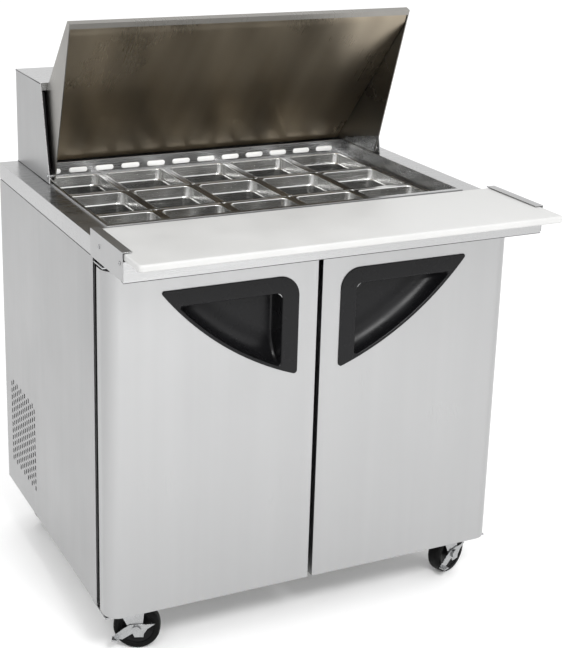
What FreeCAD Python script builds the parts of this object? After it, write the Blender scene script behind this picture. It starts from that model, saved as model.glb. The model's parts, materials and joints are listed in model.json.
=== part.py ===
import FreeCAD, Part
import os
import re
import Sketcher

# Sandwich prep table: a two-door refrigerated cabinet on casters, with a pan well under a
# tilting insulated lid, a fixed rear hood and a full-width cutting board on brackets.
# Frame: origin on the floor under the middle of the footprint, +X to the right seen from the
# front, +Y to the rear, +Z up, millimetres.

doc = FreeCAD.newDocument("prep_table")

SIZES = {
    # cabinet shell
    "half_width": 462, "rear_face": 453, "side_front": -206, "base_bottom": 116,
    "counter_height": 914, "slab_edge": 38, "slab_seam": 1.6, "sheet": 2,
    # pan well in the counter
    "well_half": 409, "well_front": -146, "well_rear": 391, "well_depth": 150,
    "well_wall": 3, "rim_width": 9, "rim_side": 5, "rim_rise": 3, "ledge_width": 14, "ledge_top": 884,
    "ledge_thick": 4,
    "bar_width": 12, "bar_height": 14,
    # one-sixth pans
    "pan_pitch_side": 160, "pan_pitch_deep": 176.5, "pan_gap": 1.2, "pan_flange": 8.5,
    "pan_depth": 148, "pan_wall": 1.5, "pan_columns": 5,
    # rear hood
    "hood_half": 417, "hood_top": 1130, "hood_front_low": 209, "hood_front_high": 260, "hood_lip": 17,
    "seal_thick": 5, "seal_wide": 22,
    # lid, drawn closed with its pivot as the origin
    "pivot_y": 222, "pivot_z": 930, "lid_open": 71, "lid_half": 404.5, "lid_panel_half": 401,
         "lid_reach": 373,
    "lid_front_low": -11, "lid_front_high": 4, "lid_back_reach": 76, "lid_back_high": 194,
    "lid_skin": 2, "lid_foam": 22, "lid_tray": 1.2, "lid_lip": 12, "pivot_radius": 4, "running_gap": 0.05,
    "hinge_plate": 2,
    # cutting board, its shelf and its end brackets
    "board_half": 460, "board_front": -453, "board_rear": -202, "board_thick": 15,
    "shelf_front": -377, "shelf_drop": 42, "bracket_rear": -200, "bracket_low": 876, "bracket_high": 932,
    "bracket_flange": 20, "screw_head": 4.5, "screw_rear": -251, "screw_front": -363, "screw_level": 908,
    # doors
    "door_gap": 5.4, "door_bottom": 117.5, "door_top": 862, "door_front": -277, "door_back": -228,
    "door_round": 32, "seal_face": -212.5, "seal_inset": 15, "seal_band": 14,
    "hinge_x": 448, "hinge_y": -240, "hinge_pin": 4,
    # handle pockets
    "grip_inner": 48, "grip_outer": 352, "grip_top": 812, "grip_bottom": 597,
    "grip_arc_x": 161, "grip_arc_z": 1212, "grip_arc": 650, "grip_round": 44,
    "grip_band_top": 36, "grip_band_side": 38, "grip_band_arc": 9, "grip_depth": 38, "grip_proud": 2.5,
    # inner liner and machine bay
    "liner_half": 412, "liner_rear": 405, "liner_floor": 150, "step_y": 180, "step_z": 430,
    "frame_deep": 6, "mullion_half": 22,
    # side vent
    "vent_front": 220, "vent_low": 186, "vent_columns": 13, "vent_rows": 12,
    "vent_pitch_side": 15.3, "vent_pitch_up": 17.6, "slot_wide": 8.5, "slot_tall": 11.5,
    # rear vent and cable gland
    "back_vent_start": -380, "back_vent_low": 170, "back_vent_columns": 24, "back_vent_rows": 9,
    "back_pitch_side": 28, "back_pitch_up": 22, "back_slot_wide": 7, "back_slot_tall": 14,
    "gland_x": 360, "gland_z": 400, "gland_radius": 11, "gland_bore": 5, "gland_rim": 5, "slot_reach": 12,
    # casters
    "caster_x": 390, "caster_front_y": -197, "caster_rear_y": 385, "caster_trail": 20,
    "wheel_radius": 50, "wheel_half": 16, "axle_radius": 6, "fork_half": 21.5, "fork_sheet": 2.5,
    "fork_crown_low": 103, "fork_crown_thick": 3, "race_radius": 24, "kingpin": 7, "plate_thick": 4,
    "plate_half_x": 48, "plate_half_y": 38, "lever_length": 48,
    # refrigeration parts
    "compressor_x": -110, "compressor_y": 318, "can_radius": 74, "can_low": 132, "can_height": 170,
    "foot_half_x": 95, "foot_half_y": 78, "foot_thick": 6, "stem_radius": 40, "can_round": 34,
    "coil_gap": 12, "coil_front": 215, "coil_rear": 430, "coil_low": 150, "coil_high": 400, "coil_deep": 40,
    "fan_y": 322, "fan_z": 275, "fan_radius": 88, "shaft_radius": 4, "motor_radius": 34, "motor_long": 58,
    "cold_coil_left": -220, "cold_coil_right": 90, "cold_coil_front": 345, "cold_coil_rear": 395,
    "cold_coil_low": 480, "cold_coil_high": 690, "cold_fan_x": 190, "cold_fan_z": 585,
    "small_fan_radius": 58, "small_motor_radius": 26,
    "dial_x": 345, "dial_z": 600, "dial_face": 354.5, "dial_radius": 17, "dial_shaft": 3,
    # shelves
    "shelf_inner": 27, "shelf_outer": 404, "shelf_edge": -190, "shelf_long": 500, "shelf_level": 445,
    "shelf_wires": 10, "shelf_rail_pitch": 248, "wire": 5, "post_wide": 16, "post_top": 730,
}

sheet = doc.addObject("Spreadsheet::Sheet", "Sizes")
for row, (alias, value) in enumerate(SIZES.items(), start=1):
    sheet.set("A%d" % row, alias)
    sheet.set("B%d" % row, str(value))
    sheet.setAlias("B%d" % row, alias)
doc.recompute()

WORD = re.compile(r"[a-z_]+[a-z0-9_]*")


def bind(text):
    """Turn a formula of size names into an expression on the spreadsheet."""
    return WORD.sub(lambda found: "Sizes." + found.group(0) if found.group(0) in SIZES else found.group(0),
                    str(text))


def number(text):
    """Value of a formula of size names, as a plain float."""
    value = sheet.evalExpression(bind(text))
    return float(getattr(value, "Value", value))


TURN = {
    "z": FreeCAD.Rotation(),
    "x": FreeCAD.Rotation(FreeCAD.Vector(0, 1, 0), 90),
    "y": FreeCAD.Rotation(FreeCAD.Vector(1, 0, 0), -90),
}
subparts = {}


def place(item, corner):
    for axis, text in zip("xyz", corner):
        item.setExpression(".Placement.Base." + axis, bind(text))
    return item


def block(name, low, high):
    """Box between two corners, each a triple of formulas."""
    item = doc.addObject("Part::Box", name)
    for side, start, end in zip(("Length", "Width", "Height"), low, high):
        item.setExpression(side, bind("(%s) - (%s)" % (end, start)))
    return place(item, low)


def rod(name, radius, length, base, axis="z"):
    """Cylinder from its base centre along +X, +Y or +Z."""
    item = doc.addObject("Part::Cylinder", name)
    item.Placement.Rotation = TURN[axis]
    item.setExpression("Radius", bind(radius))
    item.setExpression("Height", bind(length))
    return place(item, base)


def fuse(name, items):
    item = doc.addObject("Part::MultiFuse", name)
    item.Shapes = items
    return item


def group(name, items):
    """Separate solids kept in one sub-part."""
    item = doc.addObject("Part::Compound", name)
    item.Links = items
    return item


def cut(name, base, tools):
    item = doc.addObject("Part::Cut", name)
    item.Base = base
    item.Tool = tools[0] if len(tools) == 1 else group(name + "_tools", tools)
    return item


def common(name, first, second):
    item = doc.addObject("Part::Common", name)
    item.Base = first
    item.Tool = second
    return item


def origin_plane(body, role):
    for feature in body.Origin.OriginFeatures:
        if feature.Role == role:
            return feature
    return None


def profile(name, plane, points, depth, base=("0", "0", "0")):
    """PartDesign body: a closed outline of formula points on an origin plane, padded by depth.
    On XZ_Plane the outline's second axis is +Z and the pad runs to -Y; on YZ_Plane the outline is
    (Y, Z) and the pad runs to +X; on XY_Plane the outline is (X, Y) and the pad runs to +Z."""
    body = doc.addObject("PartDesign::Body", name)
    outline = body.newObject("Sketcher::SketchObject", name + "_outline")
    outline.AttachmentSupport = [(origin_plane(body, plane), "")]
    outline.MapMode = "FlatFace"
    spots = [FreeCAD.Vector(number(a), number(b), 0) for a, b in points]
    count = len(spots)
    for index in range(count):
        outline.addGeometry(Part.LineSegment(spots[index], spots[(index + 1) % count]), False)
    for index in range(count):
        outline.addConstraint(Sketcher.Constraint("Coincident", index, 2, (index + 1) % count, 1))
    for index, (across, up) in enumerate(points):
        for kind, text, value in (("DistanceX", across, spots[index].x), ("DistanceY", up, spots[index].y)):
            number_of = outline.addConstraint(Sketcher.Constraint(kind, -1, 1, index, 1, value))
            outline.setExpression("Constraints[%d]" % number_of, bind(text))
    pad = body.newObject("PartDesign::Pad", name + "_pad")
    pad.Profile = outline
    pad.setExpression("Length", bind(depth))
    body.Tip = pad
    return place(body, base)


def rounded(name, base, corners, tolerance=1.5):
    """Fillet the edges of base that pass through given points: (x, y, z, radius); a None axis is free."""
    doc.recompute()
    item = doc.addObject("Part::Fillet", name)
    item.Base = base
    edges = []
    for index, edge in enumerate(base.Shape.Edges, start=1):
        middle = edge.valueAt((edge.FirstParameter + edge.LastParameter) / 2)
        for x, y, z, radius in corners:
            wanted = zip((x, y, z), (middle.x, middle.y, middle.z))
            if all(goal is None or abs(goal - got) < tolerance for goal, got in wanted):
                edges.append((index, radius, radius))
    if len(edges) != len(corners):
        raise RuntimeError("%s: %d of %d edges found" % (name, len(edges), len(corners)))
    item.Edges = edges
    return item


def keep(name, item, placement=None):
    """Name a finished sub-part."""
    item.Label = name
    if placement is not None:
        item.Placement = placement
    subparts[name] = item
    return item


def slot_field(name, across, count_across, pitch_across, start, count_up, pitch_up, low, wide, tall, face):
    """Staggered field of upright slots as one cutting tool, through a sheet at the given face."""
    slots = []
    reach = SIZES["slot_reach"]
    for column in range(count_across):
        for line in range(count_up):
            centre = start + column * pitch_across
            level = low + line * pitch_up + (pitch_up / 2 if column % 2 else 0)
            if across == "y":
                corner = FreeCAD.Vector(face - reach / 2, centre - wide / 2, level - tall / 2)
                slots.append(Part.makeBox(reach, wide, tall, corner))
            else:
                corner = FreeCAD.Vector(centre - wide / 2, face - reach / 2, level - tall / 2)
                slots.append(Part.makeBox(wide, reach, tall, corner))
    item = doc.addObject("Part::Feature", name)
    item.Shape = Part.makeCompound(slots)
    return item


def ring(name, low, high, inner_low, inner_high):
    """Box with a smaller box taken out of it."""
    return cut(name, block(name + "_outer", low, high), [block(name + "_inner", inner_low, inner_high)])


def mirrored_pair(name, make):
    """A left and a right copy of one piece in one sub-part."""
    return group(name, [make("left", "-1"), make("right", "1")])


# ---- cabinet shell ------------------------------------------------------------------------

def side_panel(name, side):
    middle = "%s * (half_width - sheet / 2)" % side
    return block(name, [middle + " - sheet / 2", "side_front", "base_bottom"],
                 [middle + " + sheet / 2", "rear_face", "counter_height - slab_edge - slab_seam"])


left_sheet = side_panel("side_sheet_left", "-1")
vent = slot_field("vent_slots", "y", SIZES["vent_columns"], SIZES["vent_pitch_side"],
                  SIZES["vent_front"], SIZES["vent_rows"], SIZES["vent_pitch_up"], SIZES["vent_low"],
                  SIZES["slot_wide"], SIZES["slot_tall"], number("-half_width + sheet / 2"))
keep("side_panel_left", cut("side_panel_left_body", left_sheet, [vent]))
keep("side_panel_right", side_panel("side_sheet_right", "1"))

rear_sheet = block("rear_sheet", ["-half_width + sheet", "rear_face - sheet", "base_bottom"],
                   ["half_width - sheet", "rear_face", "counter_height - slab_edge - slab_seam"])
rear_vent = slot_field("rear_slots", "x", SIZES["back_vent_columns"], SIZES["back_pitch_side"],
                       SIZES["back_vent_start"], SIZES["back_vent_rows"], SIZES["back_pitch_up"],
                       SIZES["back_vent_low"], SIZES["back_slot_wide"], SIZES["back_slot_tall"],
                       number("rear_face - sheet / 2"))


def gland_rod(tag, radius, length, setback):
    return rod("gland_" + tag, radius, length, ["gland_x", "rear_face - (%s)" % setback, "gland_z"], "y")


gland_hole = gland_rod("hole", "gland_radius", "5 * sheet", "3 * sheet")
keep("rear_panel", cut("rear_panel_body", rear_sheet, [rear_vent, gland_hole]))

gland_body = fuse("gland_body", [
    gland_rod("barrel", "gland_radius", "3 * sheet", "3 * sheet"),
    gland_rod("flange", "gland_radius + gland_rim", "gland_rim", "sheet + gland_rim")])
keep("cable_gland", cut("gland", gland_body, [gland_rod("bore", "gland_bore", "10 * sheet", "7 * sheet")]))

keep("base_pan", block("base_pan_body", ["-half_width + sheet", "side_front", "base_bottom"],
                       ["half_width - sheet", "rear_face - sheet", "base_bottom + 4"]))

liner_outside = fuse("liner_outside", [
    block("liner_low_outside", ["-liner_half", "side_front", "liner_floor"],
          ["liner_half", "step_y", "step_z + sheet"]),
    block("liner_high_outside", ["-liner_half", "side_front", "step_z"],
          ["liner_half", "liner_rear", "counter_height - slab_edge"])])
liner_inside = fuse("liner_inside", [
    block("liner_low_inside", ["-liner_half + sheet", "side_front - 1", "liner_floor + sheet"],
          ["liner_half - sheet", "step_y - sheet", "step_z + 10"]),
    block("liner_high_inside", ["-liner_half + sheet", "side_front - 1", "step_z + sheet"],
          ["liner_half - sheet", "liner_rear - sheet", "counter_height"])])
keep("cabinet_liner", cut("liner_body", liner_outside, [liner_inside]))

door_frame = ring("door_frame", ["-half_width + sheet", "side_front - frame_deep", "base_bottom + 4"],
                  ["half_width - sheet", "side_front", "counter_height - slab_edge"],
                  ["-liner_half + sheet", "side_front - frame_deep - 1", "liner_floor + sheet"],
                  ["liner_half - sheet", "side_front + 1", "counter_height - slab_edge - 10"])
mullion = block("mullion", ["-mullion_half", "side_front - frame_deep", "liner_floor + sheet"],
                ["mullion_half", "side_front + 26", "counter_height - slab_edge"])
keep("breaker_frame", fuse("breaker_frame_body", [door_frame, mullion]))

# ---- counter, well, pans ------------------------------------------------------------------

counter_slab = block("counter_slab", ["-half_width", "side_front", "counter_height - slab_edge"],
                     ["half_width", "rear_face", "counter_height"])
counter_hollow = block("counter_hollow", ["-half_width + sheet", "side_front + sheet",
                                          "counter_height - slab_edge - 1"],
                       ["half_width - sheet", "rear_face - sheet", "counter_height - sheet"])
counter_opening = block("counter_opening", ["-well_half", "well_front", "counter_height - slab_edge - 1"],
                        ["well_half", "well_rear", "counter_height + 1"])
keep("counter_top", cut("counter_body", counter_slab, [counter_hollow, counter_opening]))

well_walls = ring("well_walls", ["-well_half", "well_front", "counter_height - well_depth"],
                  ["well_half", "well_rear", "counter_height"],
                  ["-well_half + well_wall", "well_front + well_wall", "counter_height - well_depth - 1"],
                  ["well_half - well_wall", "well_rear - well_wall", "counter_height + 1"])
well_rim = ring("well_rim", ["-well_half - rim_side", "well_front - rim_width", "counter_height"],
                ["well_half + rim_side", "well_rear + rim_side", "counter_height + rim_rise"],
                ["-well_half + well_wall", "well_front + well_wall", "counter_height - 1"],
                ["well_half - well_wall", "well_rear - well_wall", "counter_height + rim_rise + 1"])
well_ledge = ring("well_ledge", ["-well_half + 1", "well_front + 1", "ledge_top - ledge_thick"],
                  ["well_half - 1", "well_rear - 1", "ledge_top"],
                  ["-well_half + well_wall + ledge_width", "well_front + 10", "ledge_top - ledge_thick - 1"],
                  ["well_half - well_wall - ledge_width", "well_rear - 10", "ledge_top + 1"])
keep("well_liner", fuse("well_body", [well_walls, well_rim, well_ledge]))

WELL_MIDDLE = "(well_front + well_rear) / 2"
bars = []
for place_name, sign in (("front", "-0.5"), ("rear", "0.5")):
    middle = "%s + %s * pan_pitch_deep" % (WELL_MIDDLE, sign)
    bars.append(block("pan_bar_" + place_name,
                      ["-well_half + well_wall + ledge_width", middle + " - bar_width / 2",
                       "ledge_top - bar_height"],
                      ["well_half - well_wall - ledge_width", middle + " + bar_width / 2", "ledge_top"]))
keep("pan_bars", group("pan_bars_pair", bars))


def pan(name, column, line):
    """One-sixth pan: a flange that rests on the ledge and bars, and an open box below it."""
    across = "(%d * pan_pitch_side)" % (column - 2)
    deep = "(%s + %d * pan_pitch_deep)" % (WELL_MIDDLE, line - 1)
    half_x = "(pan_pitch_side - pan_gap) / 2"
    half_y = "(pan_pitch_deep - pan_gap) / 2"

    def box(tag, inset, low, high):
        return block(name + tag, ["%s - %s + %s" % (across, half_x, inset),
                                  "%s - %s + %s" % (deep, half_y, inset), low],
                     ["%s + %s - %s" % (across, half_x, inset), "%s + %s - %s" % (deep, half_y, inset), high])

    solid = fuse(name + "_solid", [
        box("_flange", "0", "ledge_top", "ledge_top + pan_wall"),
        box("_outside", "pan_flange", "ledge_top - pan_depth", "ledge_top + pan_wall")])
    hollow = box("_hollow", "(pan_flange + pan_wall)", "ledge_top - pan_depth + pan_wall", "ledge_top + 5")
    return cut(name + "_body", solid, [hollow])


ROW_NAMES = ("front", "middle", "rear")
rear_pans = []
for line, row_name in enumerate(ROW_NAMES):
    for column in range(SIZES["pan_columns"]):
        title = "pan_%s_%d" % (row_name, column + 1)
        piece = pan(title, column, line)
        if row_name == "rear":
            rear_pans.append(piece)
        else:
            keep(title, piece)
keep("pans_rear_row", group("pans_rear_row_group", rear_pans))

# ---- hood ---------------------------------------------------------------------------------

HOOD_SIDE = [("rear_face", "counter_height"), ("hood_front_low", "counter_height"),
             ("hood_front_high", "hood_top"), ("rear_face", "hood_top")]
hood_cheeks = [profile("hood_cheek_left", "YZ_Plane", HOOD_SIDE, "sheet", ("-hood_half", "0", "0")),
               profile("hood_cheek_right", "YZ_Plane", HOOD_SIDE, "sheet", ("hood_half - sheet", "0", "0"))]
hood_solid = fuse("hood_solid", hood_cheeks + [
    block("hood_back", ["-hood_half + sheet", "rear_face - sheet", "counter_height"],
          ["hood_half - sheet", "rear_face", "hood_top"]),
    block("hood_roof", ["-hood_half + sheet", "hood_front_high", "hood_top - sheet"],
          ["hood_half - sheet", "rear_face", "hood_top"]),
    block("hood_front_lip", ["-hood_half + sheet", "hood_front_high", "hood_top - hood_lip"],
          ["hood_half - sheet", "hood_front_high + sheet", "hood_top"])])
pivot_bore = rod("hood_pivot_bore", "pivot_radius", "2 * half_width", ["-half_width", "pivot_y", "pivot_z"],
                 "x")
keep("hood_housing", cut("hood_body", hood_solid, [pivot_bore]))

SEAL = [("hood_front_low + 13", "counter_height + 34"), ("hood_front_low + 13 + seal_wide",
                                                         "counter_height + 34"),
        ("hood_front_high + seal_wide - 6", "hood_top - 20"), ("hood_front_high - 5", "hood_top - 20")]
keep("hood_seals", group("hood_seal_pair", [
    profile("hood_seal_left", "YZ_Plane", SEAL, "seal_thick", ("-hood_half + sheet", "0", "0")),
    profile("hood_seal_right", "YZ_Plane", SEAL, "seal_thick",
            ("hood_half - sheet - seal_thick", "0", "0"))]))


def lid_pivot(side, sign):
    start = "%s * (hood_half - 9) - 9" % sign
    head = "%s * (hood_half + 1) - 1" % sign
    return fuse("lid_pivot_" + side, [rod("lid_pin_" + side, "pivot_radius", "18",
                                          [start, "pivot_y", "pivot_z"], "x"),
                                      rod("lid_pin_head_" + side, "7", "2", [head, "pivot_y", "pivot_z"],
                                          "x")])


keep("lid_pivots", mirrored_pair("lid_pivot_pair", lid_pivot))

# ---- lid, drawn closed about its pivot and kept open --------------------------------------

LID_SLOPE = "((lid_back_high - lid_front_high) / (lid_back_reach + lid_reach))"
SKIN_DROP = "(lid_skin * 1.086)"
FOAM_DROP = "(lid_foam * 1.086)"
LID_CHEEK = [("0", "lid_front_low"), ("-lid_reach", "lid_front_low"), ("-lid_reach", "lid_front_high"),
             ("lid_back_reach", "lid_back_high"), ("-lid_front_low", "0"),
             ("-0.7 * lid_front_low", "0.7 * lid_front_low")]
LID_TOP = [("-lid_reach", "lid_front_high"), ("lid_back_reach", "lid_back_high"),
           ("lid_back_reach", "lid_back_high - " + SKIN_DROP),
           ("-lid_reach", "lid_front_high - " + SKIN_DROP)]
LID_FOAM = [("-lid_reach + lid_skin", "lid_front_high - %s + lid_skin * %s" % (SKIN_DROP, LID_SLOPE)),
            ("lid_back_reach", "lid_back_high - " + SKIN_DROP),
            ("lid_back_reach - 9", "lid_back_high - %s - 9 * %s - %s" % (SKIN_DROP, LID_SLOPE, FOAM_DROP)),
            ("-lid_reach + (lid_front_low + lid_skin - lid_front_high + %s + %s) / %s"
             % (SKIN_DROP, FOAM_DROP, LID_SLOPE), "lid_front_low + lid_skin"),
            ("-lid_reach + lid_skin", "lid_front_low + lid_skin")]
LID_HOLLOW = [
    ("-lid_reach + lid_skin + lid_tray", "lid_back_high + 20"),
    ("lid_back_reach - lid_tray", "lid_back_high + 20"),
    ("lid_back_reach - lid_tray", "lid_back_high - %s - 8" % SKIN_DROP),
    ("lid_back_reach - 9 - lid_tray", "lid_back_high - %s - (9 + lid_tray) * %s - %s + 1.086 * lid_tray"
     % (SKIN_DROP, LID_SLOPE, FOAM_DROP)),
    ("-lid_reach + (lid_front_low + lid_skin - lid_front_high + %s + %s) / %s" % (SKIN_DROP, FOAM_DROP,
                                                                                  LID_SLOPE),
     "lid_front_low + lid_skin + lid_tray"),
    ("-lid_reach + lid_skin + lid_tray", "lid_front_low + lid_skin + lid_tray")]
HINGE_PLATE = [("9", "0"), ("4", "-8"), ("-40", "-9"), ("42", "128"), ("50", "124")]

lid_place = FreeCAD.Placement(FreeCAD.Vector(0, number("pivot_y"), number("pivot_z")),
                              FreeCAD.Rotation(FreeCAD.Vector(-1, 0, 0), number("lid_open")))
lid_solid = fuse("lid_solid", [
    profile("lid_cheek_left", "YZ_Plane", LID_CHEEK, "lid_skin", ("-lid_half", "0", "0")),
    profile("lid_cheek_right", "YZ_Plane", LID_CHEEK, "lid_skin", ("lid_half - lid_skin", "0", "0")),
    profile("lid_top_sheet", "YZ_Plane", LID_TOP, "2 * (lid_half - lid_skin)",
            ("-lid_half + lid_skin", "0", "0")),
    block("lid_front_face", ["-lid_half + lid_skin", "-lid_reach", "lid_front_low"],
          ["lid_half - lid_skin", "-lid_reach + lid_skin", "lid_front_high - 1"]),
    block("lid_front_lip", ["-lid_half + lid_skin", "-lid_reach", "lid_front_low"],
          ["lid_half - lid_skin", "-lid_reach + lid_lip", "lid_front_low + lid_skin"])])
keep("lid_shell", cut("lid_shell_body", lid_solid, [
    rod("lid_bore", "pivot_radius + running_gap", "2 * half_width", ["-half_width", "0", "0"], "x")]),
     lid_place)
keep("lid_inner_panel", cut("lid_tray_body", profile(
    "lid_tray_outside", "YZ_Plane", LID_FOAM, "2 * lid_panel_half", ("-lid_panel_half", "0", "0")), [profile(
        "lid_tray_hollow", "YZ_Plane", LID_HOLLOW, "2 * (lid_panel_half - lid_tray)",
        ("-lid_panel_half + lid_tray", "0", "0"))]), lid_place)


def lid_hinge_plate(side, sign):
    start = "%s * (lid_half - lid_skin - hinge_plate / 2) - hinge_plate / 2" % sign
    plate = profile("lid_plate_" + side, "YZ_Plane", HINGE_PLATE, "hinge_plate", (start, "0", "0"))
    bore = rod("lid_plate_bore_" + side, "pivot_radius + running_gap", "hinge_plate + 4",
               [start + " - 2", "0", "0"], "x")
    return cut("lid_hinge_plate_" + side, plate, [bore])


keep("lid_hinge_plates", mirrored_pair("lid_hinge_plate_pair", lid_hinge_plate), lid_place)

# ---- cutting board and what carries it ----------------------------------------------------

SHELF = [("side_front - 1", "counter_height"), ("shelf_front", "counter_height"),
         ("shelf_front", "counter_height - shelf_drop"), ("shelf_front + 12", "counter_height - shelf_drop"),
         ("shelf_front + 12", "counter_height - shelf_drop + sheet"),
         ("shelf_front + sheet", "counter_height - shelf_drop + sheet"),
         ("shelf_front + sheet", "counter_height - sheet"), ("side_front - 1", "counter_height - sheet")]
keep("board_shelf", profile("board_shelf_body", "YZ_Plane", SHELF, "2 * half_width",
                            ("-half_width", "0", "0")))
keep("cutting_board", block("board_body", ["-board_half", "board_front", "counter_height"],
                            ["board_half", "board_rear", "counter_height + board_thick"]))


def board_bracket(side, sign):
    plate = block("bracket_plate_" + side, ["%s * (half_width + 1) - 1" % sign, "shelf_front", "bracket_low"],
                  ["%s * (half_width + 1) + 1" % sign, "bracket_rear", "bracket_high"])
    reach = "%s * (half_width + sheet - bracket_flange / 2)" % sign
    flange = block("bracket_flange_" + side, [reach + " - bracket_flange / 2", "shelf_front",
                                              "bracket_high - sheet"],
                   [reach + " + bracket_flange / 2", "bracket_rear", "bracket_high"])
    return fuse("board_bracket_" + side, [plate, flange])


keep("board_brackets", mirrored_pair("board_bracket_pair", board_bracket))
screws = []
for side, sign in (("left", "-1"), ("right", "1")):
    for spot in ("rear", "front"):
        screws.append(rod("bracket_screw_%s_%s" % (side, spot), "screw_head", "sheet",
                          ["%s * (half_width + 1.5 * sheet) - sheet / 2" % sign, "screw_" + spot,
                           "screw_level"], "x"))
keep("bracket_screws", group("bracket_screw_group", screws))

# ---- doors --------------------------------------------------------------------------------


def grip_prism(name, sign, top, side, arc, front, back, corner):
    """Quarter-curve outline of the handle pocket, inset by top, side and arc, between two depths."""
    inner = "%s * (grip_inner + %s)" % (sign, side)
    outer = "%s * (grip_outer + 20)" % sign
    low, high = (outer, inner) if sign == "-1" else (inner, outer)
    slab = block(name + "_slab", [low, front, "grip_bottom - 20"], [high, back, "grip_top - (%s)" % top])
    sweep = rod(name + "_sweep", "grip_arc - (%s)" % arc, "(%s) - (%s) + 4" % (back, front),
                ["%s * -grip_arc_x" % sign, "(%s) - 2" % front, "grip_arc_z"], "y")
    return rounded(name, common(name + "_sharp", slab, sweep),
                   [(number(inner), None, number("grip_top - (%s)" % top), corner)])


def door(side, sign):
    """Door shell, inner liner, magnetic gasket and handle pocket for one side."""
    def between(near, far):
        first, second = "%s * (%s)" % (sign, near), "%s * (%s)" % (sign, far)
        return (second, first) if sign == "-1" else (first, second)

    near, far = between("door_gap", "half_width")
    shell = block("door_outside_" + side, [near, "door_front", "door_bottom"], [far, "door_back", "door_top"])
    edge = (number("%s * half_width" % sign), number("door_front"), None, number("door_round"))
    shell = rounded("door_round_" + side, shell, [edge])
    near, far = between("door_gap + sheet", "half_width - sheet")
    hollow = block("door_inside_" + side, [near, "door_front + sheet", "door_bottom + sheet"],
                   [far, "door_back + 1", "door_top - sheet"])
    edge = (number("%s * (half_width - sheet)" % sign), number("door_front + sheet"), None,
            number("door_round - sheet"))
    hollow = rounded("door_hollow_" + side, hollow, [edge])
    mouth = grip_prism("door_mouth_" + side, sign, "grip_band_top - 3", "grip_band_side - 3",
                       "grip_band_arc - 3",
                       "door_front - 4", "door_front + 6", 24)
    pin_bore = rod("door_pin_bore_" + side, "hinge_pin + running_gap", "door_top",
                   ["%s * hinge_x" % sign, "hinge_y", "60"])
    keep("door_skin_" + side, cut("door_skin_body_" + side, shell, [hollow, mouth, pin_bore]))

    panel = block("door_panel_" + side, [near, "door_back - 3", "door_bottom + sheet"],
                  [far, "door_back", "door_top - sheet"])
    near, far = between("door_gap + 32", "half_width - 32")
    raised = block("door_raised_" + side, [near, "door_back - 1", "door_bottom + 32"],
                   [far, "door_back + 6", "door_top - 32"])
    keep("door_liner_" + side, fuse("door_liner_body_" + side, [panel, raised]))

    near, far = between("door_gap + seal_inset", "half_width - seal_inset")
    near_in, far_in = between("door_gap + seal_inset + seal_band", "half_width - seal_inset - seal_band")
    keep("door_gasket_" + side, ring(
        "door_gasket_body_" + side, [near, "door_back", "door_bottom + seal_inset"],
        [far, "seal_face", "door_top - seal_inset"],
        [near_in, "door_back - 1", "door_bottom + seal_inset + seal_band"],
        [far_in, "seal_face + 1", "door_top - seal_inset - seal_band"]))

    flange = grip_prism("grip_flange_" + side, sign, "0", "0", "0", "door_front - grip_proud", "door_front",
                        number("grip_round"))
    cup = grip_prism("grip_cup_" + side, sign, "grip_band_top - 3", "grip_band_side - 3", "grip_band_arc - 3",
                     "door_front - 1", "door_front + grip_depth + 2", 24)
    pocket = grip_prism("grip_pocket_" + side, sign, "grip_band_top", "grip_band_side", "grip_band_arc",
                        "door_front - 6", "door_front + grip_depth", 21)
    keep("door_handle_" + side, cut("door_handle_body_" + side,
                                    fuse("grip_solid_" + side, [flange, cup]), [pocket]))


door("left", "-1")
door("right", "1")


def hinge_pair(side, sign):
    """Upper and lower pivot plate of one door, each with its pin."""
    low_x = "%s * (half_width - 21) - 21" % sign
    high_x = "%s * (half_width - 21) + 21" % sign
    ear = "%s * (half_width - 10.5)" % sign
    upper = fuse("hinge_upper_" + side, [
        block("hinge_upper_plate_" + side, [low_x, "hinge_y - 22", "door_top + 4"],
              [high_x, "side_front - frame_deep", "door_top + 7"]),
        rod("hinge_upper_pin_" + side, "hinge_pin", "18", ["%s * hinge_x" % sign, "hinge_y",
                                                           "door_top - 12"])])
    lower = fuse("hinge_lower_" + side, [
        block("hinge_lower_plate_" + side, [ear + " - 10.5", "hinge_y - 22", "base_bottom - 3"],
              [ear + " + 10.5", "side_front + 26", "base_bottom"]),
        rod("hinge_lower_pin_" + side, "hinge_pin", "20", ["%s * hinge_x" % sign, "hinge_y",
                                                           "base_bottom - 2"])])
    return group("hinge_group_" + side, [upper, lower])


keep("door_hinges", mirrored_pair("door_hinge_pairs", hinge_pair))

# ---- casters, each drawn about its own swivel axis ----------------------------------------

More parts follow.
